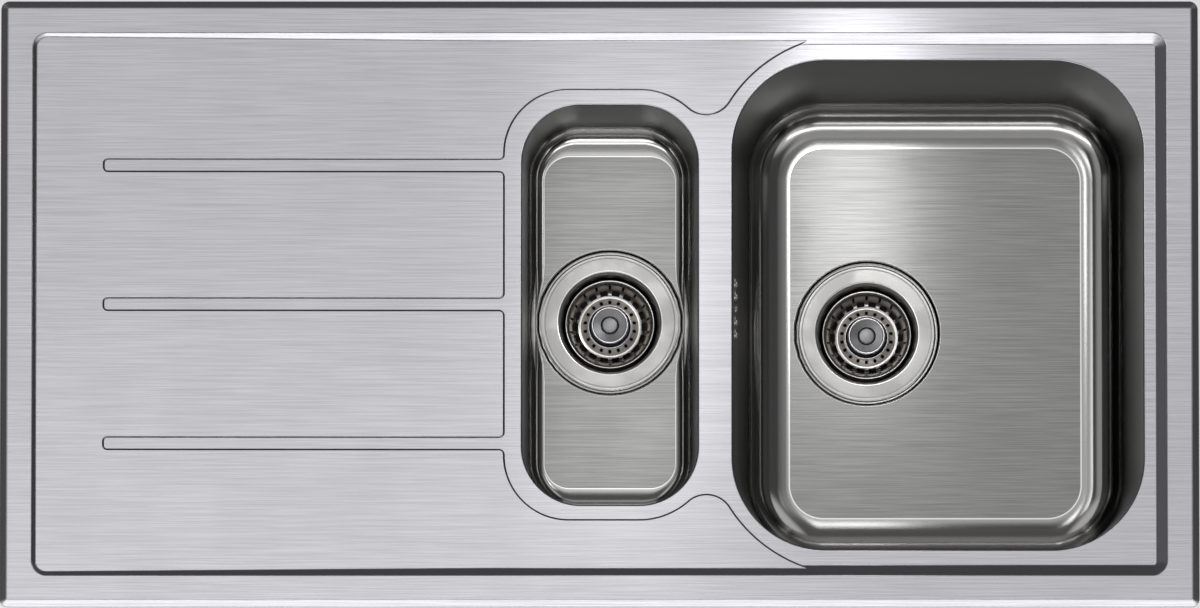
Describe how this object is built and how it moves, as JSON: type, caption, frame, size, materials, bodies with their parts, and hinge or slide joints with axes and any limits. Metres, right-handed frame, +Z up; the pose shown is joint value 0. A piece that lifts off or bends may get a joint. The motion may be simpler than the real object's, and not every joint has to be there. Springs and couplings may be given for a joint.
{
  "type": "kitchen sink",
  "caption": "Inset stainless steel kitchen sink with a grooved drainer, a half bowl and a main bowl, with basket strainer wastes, overflow and fixing clips.",
  "frame": {"origin": "middle of the sink on the worktop's surface, where the rim seal rests", "axes": "+X along the sink from the drainer to the main bowl, +Y to the rear, +Z up"},
  "size_m": [1, 0.51, 0.3515],
  "materials": {
    "brushed_deck": "satin steel brushed along its length",
    "polished_bowl": "fine satin steel, nearly polished",
    "satin_strainer": "bead blasted satin steel",
    "polished_basket": "polished steel",
    "knob_metal": "turned steel",
    "button_metal": "turned steel",
    "black_rubber": "matt",
    "foam_seal": "closed-cell foam",
    "sound_pad": "heavy matt sheet",
    "fibre_washer": "pressed fibre",
    "white_plastic": "moulded, low gloss",
    "hose_plastic": "soft ribbed plastic",
    "zinc_steel": "zinc plated pressed steel",
    "steel_screw": "plated steel"
  },
  "bodies": {
    "sink": {"deck_panel": "brushed_deck", "main_bowl": "polished_bowl", "half_bowl": "polished_bowl", "main_bowl_pad": "sound_pad", "half_bowl_pad": "sound_pad", "rim_seal": "foam_seal", "overflow_gasket": "black_rubber", "overflow_housing": "white_plastic", "overflow_screw": "steel_screw", "overflow_hose": "hose_plastic", "hose_nut_upper": "white_plastic", "hose_nut_lower": "white_plastic", "clip_brackets": "zinc_steel", "main_strainer_body": "satin_strainer", "main_flange_seal": "black_rubber", "main_bowl_gasket": "black_rubber", "main_friction_washer": "fibre_washer", "main_lock_nut": "white_plastic", "main_tail_washer": "black_rubber", "main_tail_piece": "white_plastic", "main_coupling_nut": "white_plastic", "half_strainer_body": "satin_strainer", "half_flange_seal": "black_rubber", "half_bowl_gasket": "black_rubber", "half_friction_washer": "fibre_washer", "half_lock_nut": "white_plastic", "half_tail_washer": "black_rubber", "half_tail_piece": "white_plastic", "half_coupling_nut": "white_plastic"},
    "main_basket": {"main_basket_cup": "polished_basket", "main_basket_seal": "black_rubber", "main_basket_stem": "polished_basket", "main_basket_knob": "knob_metal", "main_knob_button": "button_metal"},
    "half_basket": {"half_basket_cup": "polished_basket", "half_basket_seal": "black_rubber", "half_basket_stem": "polished_basket", "half_basket_knob": "knob_metal", "half_knob_button": "button_metal"},
    "clip_screw_1": {"clip_screw_1": "steel_screw"},
    "clip_claw_1": {"clip_claw_1": "zinc_steel"},
    "clip_screw_2": {"clip_screw_2": "steel_screw"},
    "clip_claw_2": {"clip_claw_2": "zinc_steel"},
    "clip_screw_3": {"clip_screw_3": "steel_screw"},
    "clip_claw_3": {"clip_claw_3": "zinc_steel"},
    "clip_screw_4": {"clip_screw_4": "steel_screw"},
    "clip_claw_4": {"clip_claw_4": "zinc_steel"},
    "clip_screw_5": {"clip_screw_5": "steel_screw"},
    "clip_claw_5": {"clip_claw_5": "zinc_steel"},
    "clip_screw_6": {"clip_screw_6": "steel_screw"},
    "clip_claw_6": {"clip_claw_6": "zinc_steel"},
    "clip_screw_7": {"clip_screw_7": "steel_screw"},
    "clip_claw_7": {"clip_claw_7": "zinc_steel"},
    "clip_screw_8": {"clip_screw_8": "steel_screw"},
    "clip_claw_8": {"clip_claw_8": "zinc_steel"}
  },
  "joints": [
    {"name": "main_basket_lift", "type": "slide", "parent": "sink", "child": "main_basket", "axis": [0, 0, 1], "range_m": [0, 0.25]},
    {"name": "half_basket_lift", "type": "slide", "parent": "sink", "child": "half_basket", "axis": [0, 0, 1], "range_m": [0, 0.18]},
    {"name": "clip_1_tighten", "type": "slide", "parent": "sink", "child": "clip_screw_1", "axis": [0, 0, 1], "range_m": [0, 0.014]},
    {"name": "clip_1_swing", "type": "hinge", "parent": "clip_screw_1", "child": "clip_claw_1", "pos_m": [-0.35, 0.236, -0.058], "axis": [0, 0, 1], "range_deg": [0, 90]},
    {"name": "clip_2_tighten", "type": "slide", "parent": "sink", "child": "clip_screw_2", "axis": [0, 0, 1], "range_m": [0, 0.014]},
    {"name": "clip_2_swing", "type": "hinge", "parent": "clip_screw_2", "child": "clip_claw_2", "pos_m": [0, 0.236, -0.058], "axis": [0, 0, 1], "range_deg": [0, 90]},
    {"name": "clip_3_tighten", "type": "slide", "parent": "sink", "child": "clip_screw_3", "axis": [0, 0, 1], "range_m": [0, 0.014]},
    {"name": "clip_3_swing", "type": "hinge", "parent": "clip_screw_3", "child": "clip_claw_3", "pos_m": [0.35, 0.236, -0.058], "axis": [0, 0, 1], "range_deg": [0, 90]},
    {"name": "clip_4_tighten", "type": "slide", "parent": "sink", "child": "clip_screw_4", "axis": [0, 0, 1], "range_m": [0, 0.014]},
    {"name": "clip_4_swing", "type": "hinge", "parent": "clip_screw_4", "child": "clip_claw_4", "pos_m": [-0.35, -0.236, -0.058], "axis": [0, 0, 1], "range_deg": [0, 90]},
    {"name": "clip_5_tighten", "type": "slide", "parent": "sink", "child": "clip_screw_5", "axis": [0, 0, 1], "range_m": [0, 0.014]},
    {"name": "clip_5_swing", "type": "hinge", "parent": "clip_screw_5", "child": "clip_claw_5", "pos_m": [0, -0.236, -0.058], "axis": [0, 0, 1], "range_deg": [0, 90]},
    {"name": "clip_6_tighten", "type": "slide", "parent": "sink", "child": "clip_screw_6", "axis": [0, 0, 1], "range_m": [0, 0.014]},
    {"name": "clip_6_swing", "type": "hinge", "parent": "clip_screw_6", "child": "clip_claw_6", "pos_m": [0.35, -0.236, -0.058], "axis": [0, 0, 1], "range_deg": [0, 90]},
    {"name": "clip_7_tighten", "type": "slide", "parent": "sink", "child": "clip_screw_7", "axis": [0, 0, 1], "range_m": [0, 0.014]},
    {"name": "clip_7_swing", "type": "hinge", "parent": "clip_screw_7", "child": "clip_claw_7", "pos_m": [0.481, 0, -0.058], "axis": [0, 0, 1], "range_deg": [0, 90]},
    {"name": "clip_8_tighten", "type": "slide", "parent": "sink", "child": "clip_screw_8", "axis": [0, 0, 1], "range_m": [0, 0.014]},
    {"name": "clip_8_swing", "type": "hinge", "parent": "clip_screw_8", "child": "clip_claw_8", "pos_m": [-0.481, 0, -0.058], "axis": [0, 0, 1], "range_deg": [0, 90]}
  ]
}
